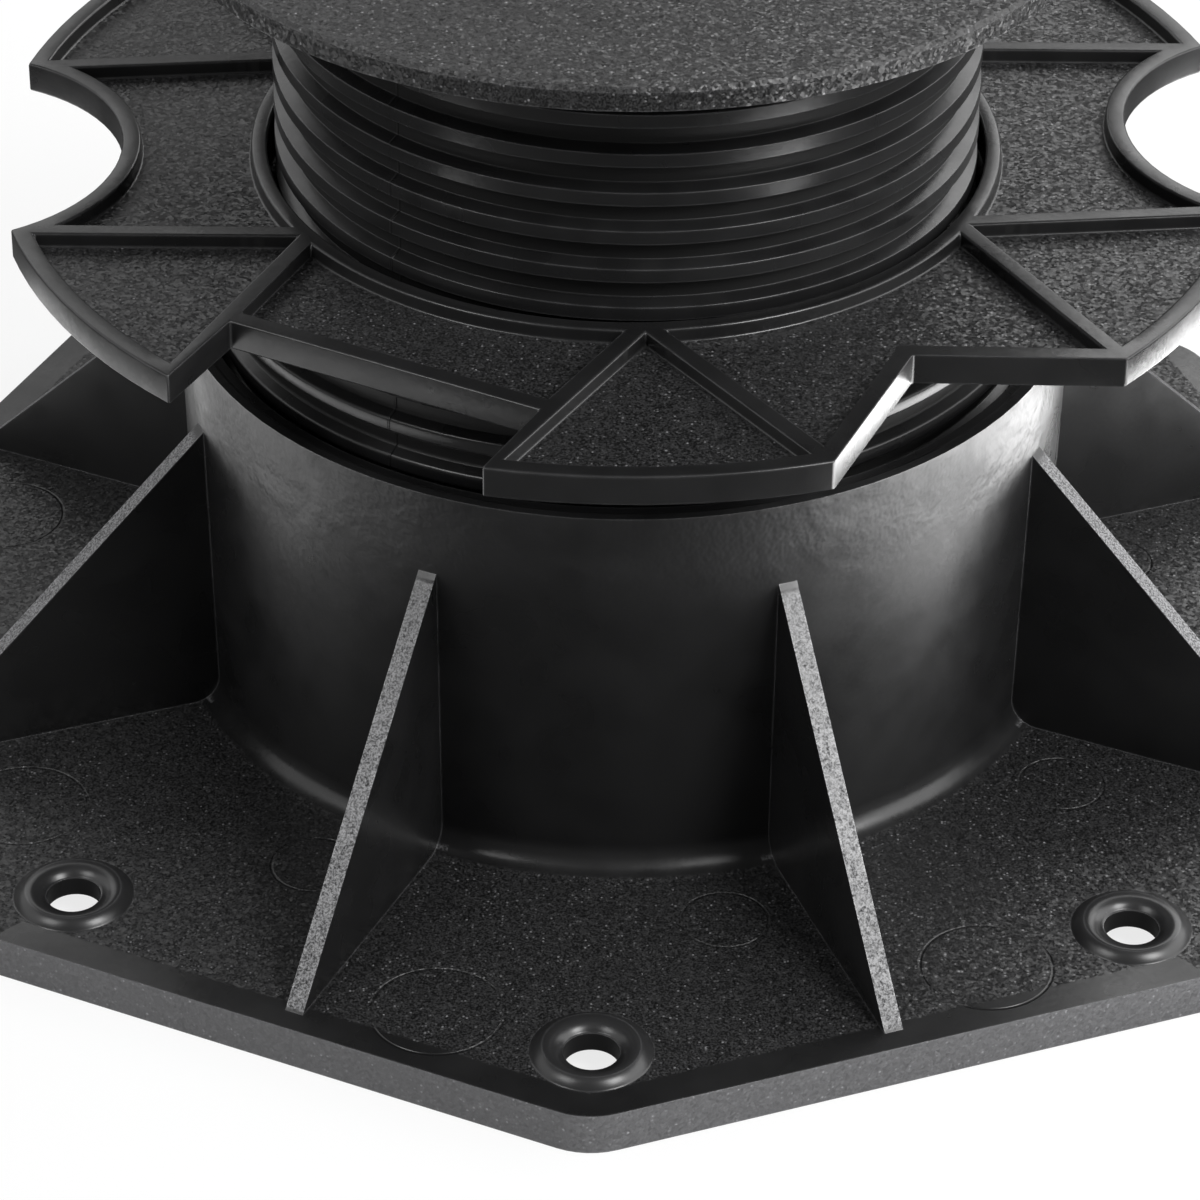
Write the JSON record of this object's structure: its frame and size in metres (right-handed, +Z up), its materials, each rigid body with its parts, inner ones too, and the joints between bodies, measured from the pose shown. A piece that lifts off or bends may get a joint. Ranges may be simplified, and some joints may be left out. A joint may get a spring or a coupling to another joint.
{
  "type": "adjustable deck pedestal",
  "caption": "Screw-adjustable support pedestal: ribbed octagonal foot with a threaded socket, notched adjusting ring, and round head plate on a hollow threaded stem.",
  "frame": {"origin": "centre of the base's underside, on the plane that the pedestal stands on", "axes": "+Z up along the screw axis to the head plate; +X from the axis through one screw hole and a corner of the base"},
  "size_m": [0.2106, 0.2008, 0.1123],
  "materials": {
    "moulding": "black moulded polypropylene, fine grain with a satin sheen"
  },
  "bodies": {
    "base": {"base": "moulding"},
    "head": {"threaded_head": "moulding"},
    "ring": {"adjusting_ring": "moulding"}
  },
  "joints": [
    {"name": "head_rise", "type": "slide", "parent": "base", "child": "head", "axis": [0, 0, 1], "range_m": [-0.01525, 0.01005]},
    {"name": "ring_turn", "type": "hinge", "parent": "head", "child": "ring", "pos_m": [0, 0, 0.0737], "axis": [0, 0, 1], "range_deg": [-1094.4, 720]}
  ],
  "couplings": [
    {"joint": "head_rise", "follows": "ring_turn", "m_per_rad": 0.00079577}
  ]
}
